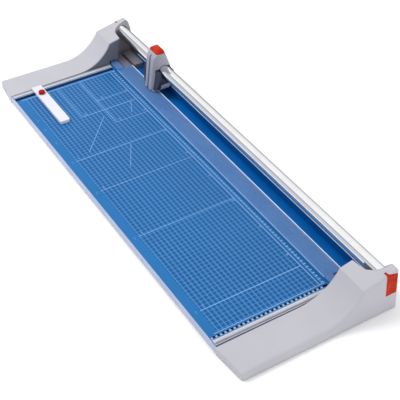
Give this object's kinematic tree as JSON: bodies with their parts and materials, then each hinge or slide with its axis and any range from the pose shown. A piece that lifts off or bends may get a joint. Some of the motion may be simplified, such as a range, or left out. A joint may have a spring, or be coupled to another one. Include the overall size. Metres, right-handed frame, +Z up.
{
  "type": "rotary paper trimmer",
  "caption": "Rotary paper trimmer: printed table with side guides, sprung clear clamp strip, round guide rail and a sliding head whose round blade rolls along a fixed knife.",
  "frame": {"origin": "centre of the footprint, on the surface that the feet stand on", "axes": "+X along the cut and the rail, away from the end where the head stands at rest; -Y towards the user; +Z up"},
  "size_m": [1.1198, 0.36, 0.131],
  "materials": {
    "aluminium": "light anodised",
    "bronze": "plain bearing bronze",
    "chrome": "polished",
    "clamp_clear": "clear, lightly tinted by the table under it",
    "cover_grey": "satin light grey moulding",
    "knob_red": "gloss red",
    "mid_grey_plastic": "satin mid grey",
    "nylon": "satin light grey",
    "pan_blue": "semi-gloss blue paint",
    "rubber": "matt black",
    "signal_orange": "gloss red-orange",
    "slate_plastic": "fine-grained dark slate",
    "steel": "ground or plated steel",
    "stop_white": "satin white",
    "table_blue": "semi-gloss blue paint with a printed grid",
    "trim_grey": "satin light grey"
  },
  "bodies": {
    "base": {"table_panel": "table_blue", "front_trim": "trim_grey", "side_guide_far": "aluminium", "side_guide_near": "aluminium", "end_cover_far": "cover_grey", "end_cover_near": "cover_grey", "end_frame_far": "slate_plastic", "end_frame_near": "slate_plastic", "cover_screw_far_front": "steel", "cover_screw_far_rear": "steel", "cover_screw_near_front": "steel", "cover_screw_near_rear": "steel", "guide_rail": "chrome", "rail_plug_far": "aluminium", "rail_plug_near": "aluminium", "rail_bracket_far": "steel", "rail_bracket_near": "steel", "rail_bolt_far": "steel", "rail_bolt_near": "steel", "rail_insert_far": "signal_orange", "rail_insert_near": "signal_orange", "park_block_far": "mid_grey_plastic", "park_block_near": "mid_grey_plastic", "drop_pan": "pan_blue", "knife_beam": "steel", "lower_knife": "steel", "knife_screw_1": "steel", "knife_screw_2": "steel", "knife_screw_3": "steel", "front_beam": "steel", "middle_beam": "steel", "rear_beam": "steel", "foot_far_front": "rubber", "foot_far_middle": "rubber", "foot_far_rear": "rubber", "foot_near_front": "rubber", "foot_near_middle": "rubber", "foot_near_rear": "rubber", "clamp_spring_far": "steel", "clamp_spring_near": "steel"},
    "clamp": {"clamp_strip": "clamp_clear", "clamp_carrier_far": "slate_plastic", "clamp_carrier_near": "slate_plastic"},
    "head": {"head_carriage": "slate_plastic", "head_cover": "cover_grey", "head_cap": "signal_orange", "head_screw_left": "steel", "head_screw_right": "steel", "rail_bush_left": "bronze", "rail_bush_right": "bronze", "guard_rim_left": "nylon", "guard_rim_right": "nylon", "press_shoe": "nylon", "blade_axle": "steel", "blade_spring": "steel"},
    "cutter": {"blade": "steel", "blade_hub": "slate_plastic"},
    "backstop": {"backstop_bar": "stop_white", "backstop_clamp_plate": "steel"},
    "knob": {"backstop_knob": "knob_red"}
  },
  "joints": [
    {"name": "head_slide", "type": "slide", "parent": "base", "child": "head", "axis": [1, 0, 0], "range_m": [-0.138, 0.786]},
    {"name": "blade_spin", "type": "hinge", "parent": "head", "child": "cutter", "pos_m": [-0.324, 0.1408, 0.036], "axis": [0, 1, 0], "continuous": true},
    {"name": "clamp_press", "type": "slide", "parent": "base", "child": "clamp", "axis": [0, 0, 1], "range_m": [-0.0015, 0], "stiffness_N_per_m": 1500, "springref_m": 0.002, "deforming": ["clamp_spring_far", "clamp_spring_near"]},
    {"name": "backstop_slide", "type": "slide", "parent": "base", "child": "backstop", "axis": [0, 1, 0], "range_m": [-0.05, 0.188]},
    {"name": "knob_turn", "type": "hinge", "parent": "backstop", "child": "knob", "pos_m": [-0.441, -0.112, 0.0262], "axis": [0, 0, 1], "range_deg": [0, 270]}
  ],
  "couplings": [
    {"joint": "blade_spin", "follows": "head_slide", "rad_per_m": 44.444}
  ]
}
